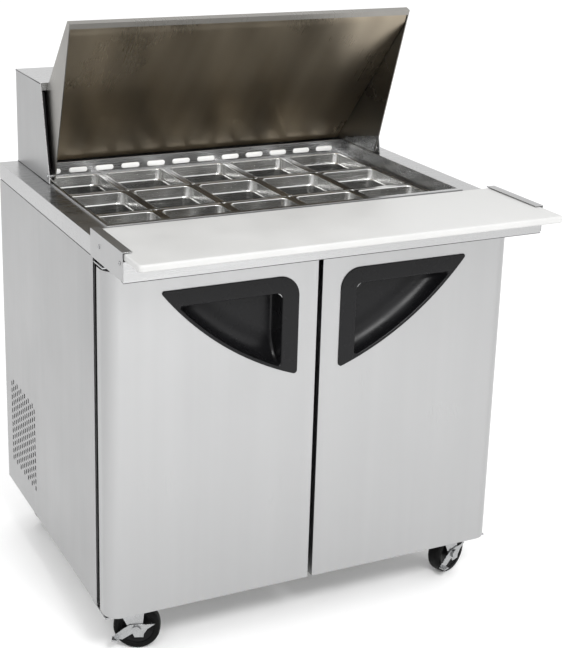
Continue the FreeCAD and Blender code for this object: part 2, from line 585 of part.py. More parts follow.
CASTERS = {
    "front_left": ("-caster_x", "caster_front_y", -25),
    "front_right": ("caster_x", "caster_front_y", 20),
    "rear_left": ("-caster_x", "caster_rear_y", 12),
    "rear_right": ("caster_x", "caster_rear_y", -14),
}
WHEEL_Z = "wheel_radius"
FORK_LEG = [("-24", "fork_crown_low + fork_crown_thick"), ("38", "fork_crown_low + fork_crown_thick"),
            ("caster_trail + 12", "wheel_radius - 4"), ("caster_trail + 6", "wheel_radius - 11"),
            ("caster_trail - 6", "wheel_radius - 11"), ("caster_trail - 13", "wheel_radius - 4")]
LEVER = [("caster_trail + 40", "wheel_radius + 15"), ("caster_trail + 22", "wheel_radius + 13"),
         ("caster_trail + 10", "wheel_radius + 14"), ("caster_trail - 14", "wheel_radius + 11"),
         ("caster_trail - 0.55 * lever_length", "wheel_radius + 3"),
         ("caster_trail - lever_length", "wheel_radius - 16"),
         ("caster_trail - 0.94 * lever_length", "wheel_radius - 20"),
         ("caster_trail - 0.62 * lever_length", "wheel_radius - 24"),
         ("caster_trail - 8", "wheel_radius - 9"), ("caster_trail - 4", "wheel_radius - 18"),
         ("caster_trail + 15", "wheel_radius - 17"), ("caster_trail + 16", "wheel_radius - 9"),
         ("caster_trail + 24", "wheel_radius + 3")]


def caster_fork(title, braked):
    crown = block(title + "_crown", ["-24", "-fork_half", "fork_crown_low"],
                  ["38", "fork_half", "fork_crown_low + fork_crown_thick"])
    near_leg = profile(title + "_leg_near", "XZ_Plane", FORK_LEG, "fork_sheet",
                       ("0", "-fork_half + fork_sheet", "0"))
    far_leg = profile(title + "_leg_far", "XZ_Plane", FORK_LEG, "fork_sheet", ("0", "fork_half", "0"))
    race = rod(title + "_race", "race_radius", "base_bottom - plate_thick - 0.3 - fork_crown_low - 1",
               ["0", "0", "fork_crown_low + 1"])
    body = cut(title + "_body", fuse(title + "_solid", [crown, near_leg, far_leg, race]), [
        rod(title + "_king_bore", "kingpin + running_gap", "40", ["0", "0", "80"]),
        rod(title + "_axle_bore", "axle_radius", "60", ["caster_trail", "-30", WHEEL_Z], "y")])
    near_end = "fork_half + 7.2" if braked else "fork_half + 4"
    axle = fuse(title + "_axle", [
        rod(title + "_axle_rod", "axle_radius", near_end + " + fork_half + 4",
            ["caster_trail", "-(%s)" % near_end, WHEEL_Z], "y"),
        rod(title + "_axle_head", "9.5", "3.8", ["caster_trail", "fork_half", WHEEL_Z], "y"),
        rod(title + "_axle_nut", "9.5", "4 - 0.2", ["caster_trail", "-(%s)" % near_end, WHEEL_Z], "y")])
    return group(title, [body, axle])


def caster_wheel(title):
    tread = rounded(title + "_tread", rod(title + "_drum", "wheel_radius", "2 * wheel_half",
                                          ["caster_trail", "-wheel_half", WHEEL_Z], "y"),
                    [(None, number("-wheel_half"), None, 5), (None, number("wheel_half"), None, 5)])
    tools = [rod(title + "_bore", "axle_radius + running_gap", "60", ["caster_trail", "-30", WHEEL_Z], "y")]
    for tag, start in (("near", "-wheel_half - 5"), ("far", "wheel_half - 5")):
        dish = rod(title + "_dish_" + tag, "34", "10", ["caster_trail", start, WHEEL_Z], "y")
        core = rod(title + "_core_" + tag, "14", "10", ["caster_trail", start, WHEEL_Z], "y")
        tools.append(cut(title + "_hollow_" + tag, dish, [core]))
    return cut(title, tread, tools)


def brake_lever(title):
    plate = profile(title + "_plate", "XZ_Plane", LEVER, "fork_sheet", ("0", "-fork_half - 0.3", "0"))
    foot = block(title + "_foot", ["caster_trail - lever_length - 3", "-fork_half - 16", "wheel_radius - 21"],
                 ["caster_trail - 0.75 * lever_length", "-fork_half - 1", "wheel_radius - 18"])
    bore = rod(title + "_bore", "axle_radius + running_gap", "20",
               ["caster_trail", "-fork_half - 12", WHEEL_Z], "y")
    return cut(title, fuse(title + "_solid", [plate, foot]), [bore])


plates = []
for corner, (x, y, yaw) in CASTERS.items():
    spot = FreeCAD.Placement(FreeCAD.Vector(number(x), number(y), 0),
                             FreeCAD.Rotation(FreeCAD.Vector(0, 0, 1), yaw))
    braked = corner.startswith("front")
    keep("caster_fork_" + corner, caster_fork("fork_" + corner, braked), spot)
    keep("caster_wheel_" + corner, caster_wheel("wheel_" + corner), spot)
    if braked:
        keep("brake_lever_" + corner, brake_lever("lever_" + corner), spot)
    plates.append(fuse("caster_mount_" + corner, [
        block("caster_plate_" + corner, [x + " - plate_half_x", y + " - plate_half_y",
                                         "base_bottom - plate_thick"],
              [x + " + plate_half_x", y + " + plate_half_y", "base_bottom"]),
        rod("kingpin_" + corner, "kingpin", "base_bottom - fork_crown_low + 2", [x, y, "fork_crown_low - 2"]),
        rod("kingpin_head_" + corner, "10", "1.7", [x, y, "fork_crown_low - 2"])]))
keep("caster_plates", group("caster_plate_group", plates))

# ---- shelves inside the cabinet -----------------------------------------------------------


def wire_shelf(side, sign):
    first, last = ("-shelf_outer", "-shelf_inner") if sign == "-1" else ("shelf_inner", "shelf_outer")
    gaps = SIZES["shelf_wires"] - 1
    wires = []
    for index in range(SIZES["shelf_wires"]):
        across = "%s + 6 + %d * (shelf_outer - shelf_inner - 12) / %d" % (first, index, gaps)
        wires.append(rod("shelf_%s_wire_%d" % (side, index), "wire / 2", "shelf_long",
                         [across, "shelf_edge", "shelf_level"], "y"))
    for index in range(3):
        deep = "shelf_edge + 2 + %d * shelf_rail_pitch" % index
        wires.append(rod("shelf_%s_rail_%d" % (side, index), "wire / 2", "shelf_outer - shelf_inner",
                         [first, deep, "shelf_level - wire"], "x"))
    return group("wire_shelf_" + side, wires)


keep("wire_shelves", mirrored_pair("wire_shelf_pair", wire_shelf))
clips = []
for side, sign in (("left", "-1"), ("right", "1")):
    for spot, deep in (("front", "-150"), ("rear", "250")):
        post = "%s * (liner_half - sheet - 2) - 2" % sign
        clips.append(fuse("shelf_post_%s_%s" % (side, spot), [
            block("post_%s_%s" % (side, spot), [post, deep, "step_z + 5"],
                  [post + " + 4", deep + " + post_wide", "post_top"]),
            block("clip_%s_%s" % (side, spot), ["%s * (liner_half - sheet - 7) - 7" % sign, deep,
                                                "shelf_level - 12"],
                  ["%s * (liner_half - sheet - 7) + 7" % sign, deep + " + post_wide",
                   "shelf_level - 1.5 * wire"])]))
keep("shelf_posts", group("shelf_post_group", clips))

# ---- refrigeration parts ------------------------------------------------------------------

CAN_TOP = "can_low + can_height"
can = rounded("compressor_can", rod("compressor_drum", "can_radius", "can_height",
                                    ["compressor_x", "compressor_y", "can_low"]),
              [(None, None, number(CAN_TOP), SIZES["can_round"])])
foot = block("compressor_foot", ["compressor_x - foot_half_x", "compressor_y - foot_half_y",
                                 "base_bottom + 4"],
             ["compressor_x + foot_half_x", "compressor_y + foot_half_y", "base_bottom + 4 + foot_thick"])
stem = rod("compressor_stem", "stem_radius", "can_low - base_bottom - foot_thick + 4",
           ["compressor_x", "compressor_y", "base_bottom + 2 + foot_thick"])
keep("compressor", fuse("compressor_body", [can, foot, stem]))

COIL_LEFT = "-half_width + coil_gap"
COIL_RIGHT = "-half_width + coil_gap + coil_deep"
coil = block("condenser_core", [COIL_LEFT, "coil_front", "coil_low"], [COIL_RIGHT, "coil_rear", "coil_high"])
shroud_plate = block("shroud_plate", [COIL_RIGHT, "coil_front", "coil_low"],
                     [COIL_RIGHT + " + 3 * sheet", "coil_rear", "coil_high"])
shroud = cut("condenser_shroud", shroud_plate, [
    rod("shroud_mouth", "fan_radius + 6", "40", ["-half_width + coil_deep", "fan_y", "fan_z"], "x")])
motor = fuse("condenser_motor", [
    rod("motor_can", "motor_radius", "motor_long", ["-half_width + 100", "fan_y", "fan_z"], "x"),
    rod("motor_shaft", "shaft_radius", "40", ["-half_width + 62", "fan_y", "fan_z"], "x"),
    block("motor_bracket", ["-half_width + 118", "fan_y - 16", "base_bottom + 4"],
          ["-half_width + 124", "fan_y + 16", "fan_z - 25"])])
keep("condenser_coil", group("condenser_group", [coil, shroud, motor]))


def fan(title, hub_radius, blade_reach, blade_wide, hub_long, centre, axis):
    """Hub with four pitched blades about +X or +Y, bored for its shaft."""
    x, y, z = centre
    hub = rod(title + "_hub", hub_radius, hub_long, centre, axis)
    parts = [hub]
    half = number(hub_long) / 2
    shift = FreeCAD.Vector(half, 0, 0) if axis == "x" else FreeCAD.Vector(0, half, 0)
    middle = FreeCAD.Placement(FreeCAD.Vector(number(x), number(y), number(z)) + shift, TURN[axis])
    for quarter in range(4):
        blade = doc.addObject("Part::Box", "%s_blade_%d" % (title, quarter))
        blade.Length = blade_reach - hub_radius + 3
        blade.Width = blade_wide
        blade.Height = 2.2
        spoke = FreeCAD.Placement(FreeCAD.Vector(), FreeCAD.Rotation(FreeCAD.Vector(0, 0, 1), 90 * quarter))
        pitch = FreeCAD.Placement(FreeCAD.Vector(), FreeCAD.Rotation(FreeCAD.Vector(1, 0, 0), 28))
        corner = FreeCAD.Placement(FreeCAD.Vector(hub_radius - 3, -blade_wide / 2, -1.1), FreeCAD.Rotation())
        blade.Placement = middle * spoke * pitch * corner
        parts.append(blade)
    bore = rod(title + "_bore", "shaft_radius + running_gap", "60",
               [x + " - 20", y, z] if axis == "x" else [x, y + " - 20", z], axis)
    return cut(title, fuse(title + "_solid", parts), [bore])


keep("condenser_fan", fan("condenser_blades", 20, SIZES["fan_radius"], 34, "26",
                          ("-half_width + 66", "fan_y", "fan_z"), "x"))

evaporator = block("evaporator_core", ["cold_coil_left", "cold_coil_front", "cold_coil_low"],
                   ["cold_coil_right", "cold_coil_rear", "cold_coil_high"])
evaporator_motor = fuse("evaporator_motor", [
    rod("evaporator_can", "small_motor_radius", "34", ["cold_fan_x", "cold_coil_front + 24", "cold_fan_z"],
        "y"),
    rod("evaporator_shaft", "shaft_radius", "30", ["cold_fan_x", "cold_coil_front - 4", "cold_fan_z"], "y"),
    block("evaporator_stay", ["cold_coil_right", "cold_coil_front + 27", "cold_fan_z - 9"],
          ["cold_fan_x - 24", "cold_coil_front + 33", "cold_fan_z + 9"])])
keep("evaporator_coil", group("evaporator_group", [evaporator, evaporator_motor]))
keep("evaporator_fan", fan("evaporator_blades", 14, SIZES["small_fan_radius"], 22, "18",
                           ("cold_fan_x", "cold_coil_front - 1", "cold_fan_z"), "y"))

keep("thermostat_housing", fuse("thermostat_body", [
    block("thermostat_box", ["dial_x - 35", "dial_face + 18.5", "dial_z - 60"],
          ["dial_x + 35", "liner_rear - sheet", "dial_z + 40"]),
    rod("thermostat_shaft", "dial_shaft", "20", ["dial_x", "dial_face + 1.5", "dial_z"], "y")]))
dial = rounded("thermostat_dial", rod("thermostat_disc", "dial_radius", "18",
                                      ["dial_x", "dial_face", "dial_z"], "y"),
               [(None, SIZES["dial_face"], None, 2)])
grip = block("thermostat_grip", ["dial_x - 3", "dial_face - 4.5", "dial_z - 14"],
             ["dial_x + 3", "dial_face + 1.5", "dial_z + 14"])
keep("thermostat_knob", cut("thermostat_knob_body", fuse("thermostat_knob_solid", [dial, grip]), [
    rod("thermostat_knob_bore", "dial_shaft + running_gap", "20", ["dial_x", "dial_face + 1.4", "dial_z"],
        "y")]))

# ---- check everything and write it --------------------------------------------------------

doc.recompute()
for item in doc.Objects:
    if "Invalid" in item.State or "Error" in item.State:
        raise RuntimeError("%s did not rebuild: %s" % (item.Name, item.State))
os.makedirs("parts", exist_ok=True)
for name, item in subparts.items():
    shape = item.Shape
    if shape.isNull() or not shape.isValid() or not shape.Solids:
        raise RuntimeError("%s has no valid solid" % name)
    shape.exportStep("parts/%s.step" % name)
print(len(subparts), "sub-parts written")
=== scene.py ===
import json
import math

import bmesh
import bpy
from mathutils import Matrix, Vector


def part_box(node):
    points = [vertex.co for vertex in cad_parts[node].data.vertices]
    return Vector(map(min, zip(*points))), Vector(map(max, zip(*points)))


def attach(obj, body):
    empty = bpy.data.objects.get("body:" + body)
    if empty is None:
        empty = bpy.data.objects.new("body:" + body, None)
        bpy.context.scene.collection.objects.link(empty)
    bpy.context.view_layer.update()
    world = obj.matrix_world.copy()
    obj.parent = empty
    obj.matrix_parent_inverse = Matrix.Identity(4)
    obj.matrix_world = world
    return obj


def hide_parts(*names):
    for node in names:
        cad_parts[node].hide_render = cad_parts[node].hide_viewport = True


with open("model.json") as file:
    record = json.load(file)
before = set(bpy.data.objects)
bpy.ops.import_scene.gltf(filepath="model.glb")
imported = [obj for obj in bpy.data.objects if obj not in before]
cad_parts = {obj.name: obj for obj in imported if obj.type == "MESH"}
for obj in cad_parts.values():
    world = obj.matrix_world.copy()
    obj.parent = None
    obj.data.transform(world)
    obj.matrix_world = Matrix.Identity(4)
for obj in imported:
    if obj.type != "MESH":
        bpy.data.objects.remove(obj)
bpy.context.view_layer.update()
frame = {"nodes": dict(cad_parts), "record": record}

# Sandwich prep table: brushed stainless cabinet with two doors, open lid over a pan well, rear
# hood, full-width white cutting board and four casters. Metres, in the frame of the CAD model.

MM = 0.001
NODES = frame["nodes"]
RECORD = frame["record"]
BODY_OF = {node: body for body, nodes in RECORD["behaviour"]["bodies"].items() for node in nodes}
SLOT_OF = {entry["node"]: entry["material_slot"] for entry in RECORD["subparts"]}
JOINTS = {joint["name"]: joint for joint in RECORD["behaviour"]["joints"]}


# ---- materials ----------------------------------------------------------------------------

# the middle range of a noise texture, where most of its values lie
NOISE_LOW = 0.3
NOISE_HIGH = 0.7
# brushed steel, in cycles per metre: across and along the grain, along the roller marks, smudges
GRAIN_ACROSS = 520.0
GRAIN_ALONG = 6.0
BANDS_ALONG = 0.8
SMUDGES = 3.2
SMUDGE_GLOSS = 0.05
STEEL_SOCKETS = ("Base Color", "Roughness", "Normal")
# a face takes the darker look of a piece's ends, painted shade, when its direction along x is over this
SHADED_END_FACING = 0.9


def new_material(name, colour, metallic, roughness, **sockets):
    """Principled material with its plain numbers set on the shader's own sockets."""
    material = bpy.data.materials.new(name)
    material.use_nodes = True
    tree = material.node_tree
    shader = tree.nodes["Principled BSDF"]
    shader.inputs["Base Color"].default_value = (*colour, 1.0)
    shader.inputs["Metallic"].default_value = metallic
    shader.inputs["Roughness"].default_value = roughness
    for socket, value in sockets.items():
        shader.inputs[socket].default_value = value
    return material, tree, shader


def object_noise(tree, stretch, detail=3.0, roughness=0.55):
    """Noise in object space with about this many cycles per metre along x, y and z."""
    place = tree.nodes.new("ShaderNodeTexCoord")
    mapping = tree.nodes.new("ShaderNodeMapping")
    noise = tree.nodes.new("ShaderNodeTexNoise")
    mapping.inputs["Scale"].default_value = stretch
    noise.inputs["Scale"].default_value = 1.0
    noise.inputs["Detail"].default_value = detail
    noise.inputs["Roughness"].default_value = roughness
    tree.links.new(place.outputs["Object"], mapping.inputs["Vector"])
    tree.links.new(mapping.outputs["Vector"], noise.inputs["Vector"])
    return noise.outputs["Fac"]


def remap(tree, value, low, high, start=NOISE_LOW, end=NOISE_HIGH):
    """Map a value's range from start to end onto low to high, clamped at both ends."""
    node = tree.nodes.new("ShaderNodeMapRange")
    node.inputs["From Min"].default_value = start
    node.inputs["From Max"].default_value = end
    node.inputs["To Min"].default_value = low
    node.inputs["To Max"].default_value = high
    tree.links.new(value, node.inputs["Value"])
    return node.outputs["Result"]


def add_values(tree, first, second):
    node = tree.nodes.new("ShaderNodeMath")
    node.operation = "ADD"
    tree.links.new(first, node.inputs[0])
    tree.links.new(second, node.inputs[1])
    return node.outputs["Value"]


def blend_colours(tree, factor, dark, light):
    node = tree.nodes.new("ShaderNodeMix")
    node.data_type = "RGBA"
    node.inputs["A"].default_value = (*dark, 1.0)
    node.inputs["B"].default_value = (*light, 1.0)
    tree.links.new(factor, node.inputs["Factor"])
    return node.outputs["Result"]


def bump(tree, height, strength, distance):
    """Normal of a height map; distance in metres."""
    node = tree.nodes.new("ShaderNodeBump")
    node.inputs["Strength"].default_value = strength
    node.inputs["Distance"].default_value = distance
    tree.links.new(height, node.inputs["Height"])
    return node.outputs["Normal"]


def steel_look(tree, colour, roughness, along="z", spread=0.05, relief=0.05, shade=0.05,
               streak=26.0, hair=0.35):
    """Colour, roughness and normal of sheet with a grain, roller marks and uneven gloss."""
    grain = [GRAIN_ACROSS, GRAIN_ACROSS, GRAIN_ACROSS]
    bands = [streak, streak, streak]
    for axis in along:
        grain["xyz".index(axis)] = GRAIN_ALONG
        bands["xyz".index(axis)] = BANDS_ALONG
    fine = object_noise(tree, grain, detail=4.0, roughness=0.65)
    wide = object_noise(tree, bands, detail=2.0)
    smudge = object_noise(tree, (SMUDGES, SMUDGES, SMUDGES), detail=4.0)
    gloss = add_values(tree, remap(tree, fine, roughness - spread, roughness + spread),
                       remap(tree, smudge, -SMUDGE_GLOSS, SMUDGE_GLOSS))
    darker = tuple(channel * (1.0 - shade) for channel in colour)
    tint = add_values(tree, remap(tree, fine, 0.0, hair), remap(tree, wide, 0.0, 1.0 - hair))
    return blend_colours(tree, tint, darker, colour), gloss, bump(tree, fine, relief, 0.0003)


def brushed_steel(name, colour, roughness, **grain):
    """Steel sheet with one grain all over."""
    material, tree, shader = new_material(name, colour, 1.0, roughness)
    for socket, value in zip(STEEL_SOCKETS, steel_look(tree, colour, roughness, **grain)):
        tree.links.new(value, shader.inputs[socket])
    return material


def steel_with_shaded_ends(name, middle, ends):
    """Steel with one look on most faces and a darker one, painted shade, on the faces that look along x.
    """
    material, tree, shader = new_material(name, middle["colour"], 1.0, middle["roughness"])
    place = tree.nodes.new("ShaderNodeTexCoord")
    split = tree.nodes.new("ShaderNodeSeparateXYZ")
    size = tree.nodes.new("ShaderNodeMath")
    size.operation = "ABSOLUTE"
    facing = tree.nodes.new("ShaderNodeMath")
    facing.operation = "GREATER_THAN"
    facing.inputs[1].default_value = SHADED_END_FACING
    tree.links.new(place.outputs["Normal"], split.inputs["Vector"])
    tree.links.new(split.outputs["X"], size.inputs[0])
    tree.links.new(size.outputs["Value"], facing.inputs[0])
    looks = zip(STEEL_SOCKETS, steel_look(tree, **middle), steel_look(tree, **ends))
    for (socket, near, far), kind in zip(looks, ("RGBA", "FLOAT", "VECTOR")):
        node = tree.nodes.new("ShaderNodeMix")
        node.data_type = kind
        tree.links.new(facing.outputs["Value"], node.inputs["Factor"])
        tree.links.new(near, node.inputs["A"])
        tree.links.new(far, node.inputs["B"])
        tree.links.new(node.outputs["Result"], shader.inputs[socket])
    return material


def moulded_plastic(name, colour, roughness, grain=1500.0, relief=0.15, shade=0.25, specular=0.5):
    """Moulded plastic with a fine spark-eroded grain and faint handling marks."""
    gloss = {"Specular IOR Level": specular}
    material, tree, shader = new_material(name, colour, 0.0, roughness, **gloss)
    texture = object_noise(tree, (grain, grain, grain), detail=2.0)
    marks = object_noise(tree, (14.0, 14.0, 14.0), detail=5.0)
    worn = remap(tree, marks, roughness - 0.06, roughness + 0.08)
    lighter = tuple(channel * (1.0 + shade) for channel in colour)
    tint = blend_colours(tree, remap(tree, marks, 0.0, 1.0), colour, lighter)
    tree.links.new(worn, shader.inputs["Roughness"])
    tree.links.new(tint, shader.inputs["Base Color"])
    tree.links.new(bump(tree, texture, relief, 0.0002), shader.inputs["Normal"])
    return material


def plated(name, colour, roughness):
    """Zinc plate with a soft spangle and dull handling marks."""
    material, tree, shader = new_material(name, colour, 1.0, roughness)
    spangle = object_noise(tree, (240.0, 240.0, 240.0), detail=3.0)
    haze = object_noise(tree, (30.0, 30.0, 30.0), detail=4.0)
    gloss = add_values(tree, remap(tree, spangle, roughness - 0.08, roughness + 0.08),
                       remap(tree, haze, -0.05, 0.10))
    darker = tuple(channel * 0.8 for channel in colour)
    tint = blend_colours(tree, remap(tree, haze, 0.0, 1.0), darker, colour)
    tree.links.new(gloss, shader.inputs["Roughness"])
    tree.links.new(tint, shader.inputs["Base Color"])
    tree.links.new(bump(tree, spangle, 0.06, 0.0003), shader.inputs["Normal"])
    return material


BOARD_STAINED = (0.45, 0.45, 0.444)
BOARD_CLEAN = (0.475, 0.475, 0.469)
# noise values between which a knife mark deepens
CUT_START = 0.55
CUT_END = 0.75


def cut_board_plastic():
    """White polyethylene: faint knife marks both ways, a waxy surface and a trace of staining."""
    material, tree, shader = new_material("board_polyethylene", (0.46, 0.46, 0.454), 0.0, 0.42)
    shader.inputs["Subsurface Weight"].default_value = 0.08
    shader.inputs["Subsurface Radius"].default_value = (0.004, 0.004, 0.004)
    across = object_noise(tree, (24.0, 900.0, 200.0), detail=2.0)
    along = object_noise(tree, (760.0, 30.0, 200.0), detail=2.0)
    cloud = object_noise(tree, (9.0, 9.0, 9.0), detail=4.0)
    knife = add_values(tree, remap(tree, across, 0.0, 0.5, CUT_START, CUT_END),
                       remap(tree, along, 0.0, 0.5, CUT_START, CUT_END))
    tint = blend_colours(tree, remap(tree, cloud, 0.0, 1.0), BOARD_STAINED, BOARD_CLEAN)
    tree.links.new(remap(tree, cloud, 0.36, 0.50), shader.inputs["Roughness"])
    tree.links.new(tint, shader.inputs["Base Color"])
    tree.links.new(bump(tree, knife, 0.12, 0.0002), shader.inputs["Normal"])
    return material


# The base colours were set by sampling, so that this script's own lights give the photo's tones. The
# stainless looks stand for one metal: they differ only to reach those tones.
SMOOTH_MOULD = {"grain": 500.0, "relief": 0.06, "shade": 0.04}
# the stainless looks' colours differ from one another only as painted light and shade, not as different
# metals
FLAT_STEEL = {"colour": (0.435, 0.436, 0.438), "roughness": 0.28, "along": "x"}
# darker steel for the sides, the rear and the hood's ends: painted shade, the same metal darkened where it
# faces away from the light
SHADED_SIDE_STEEL = {"colour": (0.357, 0.358, 0.360), "roughness": 0.36, "spread": 0.03, "relief": 0.02,
              "shade": 0.04, "hair": 0.2}
MATERIALS = {
    "stainless": brushed_steel("stainless_upright", (0.395, 0.396, 0.398), 0.33, spread=0.03,
                               relief=0.015, shade=0.04, hair=0.2),
    "stainless_flat": brushed_steel("stainless_lengthwise", **FLAT_STEEL),
    "stainless_side_painted_shade": brushed_steel("stainless_side_painted_shade", **SHADED_SIDE_STEEL),
    "stainless_hood_shaded_ends": steel_with_shaded_ends("stainless_hood_shaded_ends", FLAT_STEEL, SHADED_SIDE_STEEL),
    # the lid shell's steel is darkened: painted shade on the same metal
    "stainless_lid_painted_shade": brushed_steel("stainless_lid_painted_shade", (0.265, 0.256, 0.239), 0.32, along="yz"),
    # warm, to stand for the food that the panel seems to reflect in the photo
    "panel_inside": brushed_steel("lid_panel_steel", (0.41, 0.352, 0.268), 0.30, along="yz",
                                  spread=0.01, relief=0.0, shade=0.45, streak=8.0, hair=0.05),
    "liner_sheet": brushed_steel("liner_steel", (0.50, 0.50, 0.495), 0.36),
    "pan_steel": brushed_steel("pan_steel", (0.62, 0.62, 0.61), 0.22, along="x"),
    "black_trim": moulded_plastic("black_trim", (0.005, 0.005, 0.0055), 0.26, specular=0.17),
    "gasket_rubber": moulded_plastic("gasket_vinyl", (0.020, 0.020, 0.021), 0.55, grain=700.0),
    "white_board": cut_board_plastic(),
    "liner_plastic": moulded_plastic("liner_plastic", (0.66, 0.66, 0.65), 0.38, **SMOOTH_MOULD),
    # near white, brighter than the liner plastic: painted light, for light seen through the air slots
    "slot_plastic_painted_light": moulded_plastic("slot_plastic_painted_light", (0.90, 0.90, 0.89), 0.38, **SMOOTH_MOULD),
    "zinc_plate": plated("zinc_plate", (0.40, 0.405, 0.41), 0.24),
    "wheel_tread": moulded_plastic("wheel_rubber", (0.004, 0.004, 0.004), 0.40, grain=600.0,
                                   specular=0.07),
    "wheel_hub": moulded_plastic("wheel_hub", (0.005, 0.005, 0.0055), 0.30, grain=500.0,
                                 specular=0.12),
    "coated_wire": moulded_plastic("coated_wire", (0.72, 0.72, 0.70), 0.30, grain=300.0,
                                   relief=0.05, shade=0.05),
    # the fins' aluminium is coloured near black: painted shade, for fins lying in the dark behind the vent
    # slots
    "coil_fin": brushed_steel("coil_fins_painted_shade", (0.10, 0.10, 0.105), 0.42, shade=0.3),
    "black_enamel": moulded_plastic("black_enamel", (0.014, 0.014, 0.015), 0.30, grain=220.0,
                                    relief=0.08),
}
# CAD nodes that have a look of their own; the others have the look of their record slot
FINISH_OF = {
    "counter_top": "stainless_flat", "board_shelf": "stainless_flat",
    "well_liner": "stainless_flat", "hood_housing": "stainless_hood_shaded_ends",
    "side_panel_left": "stainless_side_painted_shade", "side_panel_right": "stainless_side_painted_shade",
    "rear_panel": "stainless_side_painted_shade", "lid_shell": "stainless_lid_painted_shade",
}


# ---- CAD pieces that keep their shape -----------------------------------------------------

def smooth_group():
    """Modifier group that shades a mesh smooth, so that the CAD mesh itself stays as it is."""
    group = bpy.data.node_groups.new("all_smooth", "GeometryNodeTree")
    for side in ("INPUT", "OUTPUT"):
        group.interface.new_socket("Geometry", in_out=side, socket_type="NodeSocketGeometry")
    start = group.nodes.new("NodeGroupInput")
    smooth = group.nodes.new("GeometryNodeSetShadeSmooth")
    end = group.nodes.new("NodeGroupOutput")
    group.links.new(start.outputs["Geometry"], smooth.inputs["Geometry"])
    group.links.new(smooth.outputs["Geometry"], end.inputs["Geometry"])
    return group


SMOOTH = smooth_group()
EDGE_WIDTH = 0.7 * MM


def soften(item):
    """Small rolled edges on a CAD piece, by modifiers, so that every fold catches the light."""
    item.modifiers.new("smooth", "NODES").node_group = SMOOTH
    weld = item.modifiers.new("weld", "WELD")
    weld.merge_threshold = 0.01 * MM
    flat = item.modifiers.new("flat", "DECIMATE")
    flat.decimate_type = "DISSOLVE"
    flat.angle_limit = math.radians(0.5)
    edge = item.modifiers.new("edge", "BEVEL")
    edge.width = EDGE_WIDTH
    edge.segments = 2
    edge.limit_method = "ANGLE"
    edge.angle_limit = math.radians(35.0)
    item.modifiers.new("normals", "WEIGHTED_NORMAL")


for node, item in NODES.items():
    item.material_slots[0].material = MATERIALS[FINISH_OF.get(node, SLOT_OF[node])]
    soften(item)


# ---- mesh helpers -------------------------------------------------------------------------

def loft(loops, cap_first=True, cap_last=True, wrap=False):
    """Points and faces of equal closed loops joined in order; wrap joins the last to the first."""
    count = len(loops[0])
    points = [point for loop in loops for point in loop]
    faces = []
    rows = len(loops) if wrap else len(loops) - 1
    for row in range(rows):
        near = row * count
        far = (row + 1) % len(loops) * count
        for index in range(count):
            after = (index + 1) % count
            faces.append((near + index, near + after, far + after, far + index))
    if cap_first:
        faces.append(tuple(reversed(range(count))))
    if cap_last:
        faces.append(tuple(range((len(loops) - 1) * count, len(loops) * count)))
    return points, faces


def piece(name, points, faces, finish, like, replaced=(), closed=True):
    """Smooth mesh piece in the look `finish` that rides with the CAD node `like`."""
    mesh = bpy.data.meshes.new(name)
    mesh.from_pydata([tuple(point) for point in points], [], faces)
    if closed:
        work = bmesh.new()
        work.from_mesh(mesh)
        bmesh.ops.recalc_face_normals(work, faces=work.faces)
        work.to_mesh(mesh)
        work.free()
    for polygon in mesh.polygons:
        polygon.use_smooth = True
    mesh.materials.append(MATERIALS[finish])
    item = bpy.data.objects.new(name, mesh)
    bpy.context.collection.objects.link(item)
    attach(item, BODY_OF[like])
    if replaced:
        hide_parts(*replaced)
    return item


def shell(item, thickness):
    """Give a single-sided sheet its thickness, away from its visible side."""
    solid = item.modifiers.new("thickness", "SOLIDIFY")
    solid.thickness = thickness
    solid.offset = -1.0
    item.modifiers.new("normals", "WEIGHTED_NORMAL")


def arc_points(centre, radius, start, stop, steps):
    """Points on an arc from start to stop degrees, both ends included."""
    spots = []
    for step in range(steps + 1):
        angle = math.radians(start + (stop - start) * step / steps)
        spots.append((centre[0] + radius * math.cos(angle), centre[1] + radius * math.sin(angle)))
    return spots


def rounded_rectangle(half_x, half_y, radius, steps=6):
    """Anticlockwise outline of a rectangle with round corners, about the origin."""
    spots = []
    for quarter, (side_x, side_y) in enumerate(((1, 1), (-1, 1), (-1, -1), (1, -1))):
        centre = (side_x * (half_x - radius), side_y * (half_y - radius))
        spots += arc_points(centre, radius, 90 * quarter, 90 * quarter + 90, steps)
    return spots


def round_slab(low, high, corner, edge, steps=5):
    """Slab with round corners seen from above and round upper and lower edges."""
    middle = (low + high) / 2
    half = (high - low) / 2
    loops = []
    for base, sign in ((low.z, 1), (high.z, -1)):
        ring = []
        for step in range(steps + 1):
            angle = math.radians(90 * step / steps)
            inset = edge * (1 - math.sin(angle))
            level = base + sign * edge * (1 - math.cos(angle))
            outline = rounded_rectangle(half.x - inset, half.y - inset, corner - inset)
            ring.append([(middle.x + x, middle.y + y, level) for x, y in outline])
        loops += ring if sign == 1 else ring[::-1]
    return loft(loops)


def turned(profile, centre, axis, segments=48, wrap=True):
    """Points and faces of a turned piece from (radius, distance along the axis) pairs."""
    axis = Vector(axis).normalized()
    first = axis.orthogonal().normalized()
    second = axis.cross(first)
    loops = []
    for radius, along in profile:
        ring = []
        for index in range(segments):
            angle = 2 * math.pi * index / segments
            outward = first * math.cos(angle) + second * math.sin(angle)
            ring.append(centre + axis * along + outward * radius)
        loops.append(ring)
    return loft(loops, cap_first=not wrap, cap_last=not wrap, wrap=wrap)


# ---- cutting board ------------------------------------------------------------------------

BOARD_CORNER = 9 * MM
BOARD_EDGE = 4.5 * MM


def cutting_board():
    low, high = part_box("cutting_board")
    points, faces = round_slab(low, high, BOARD_CORNER, BOARD_EDGE)
    item = piece("board", points, faces, "white_board", "cutting_board", ["cutting_board"])
    item.modifiers.new("normals", "WEIGHTED_NORMAL")


# ---- food pans ----------------------------------------------------------------------------

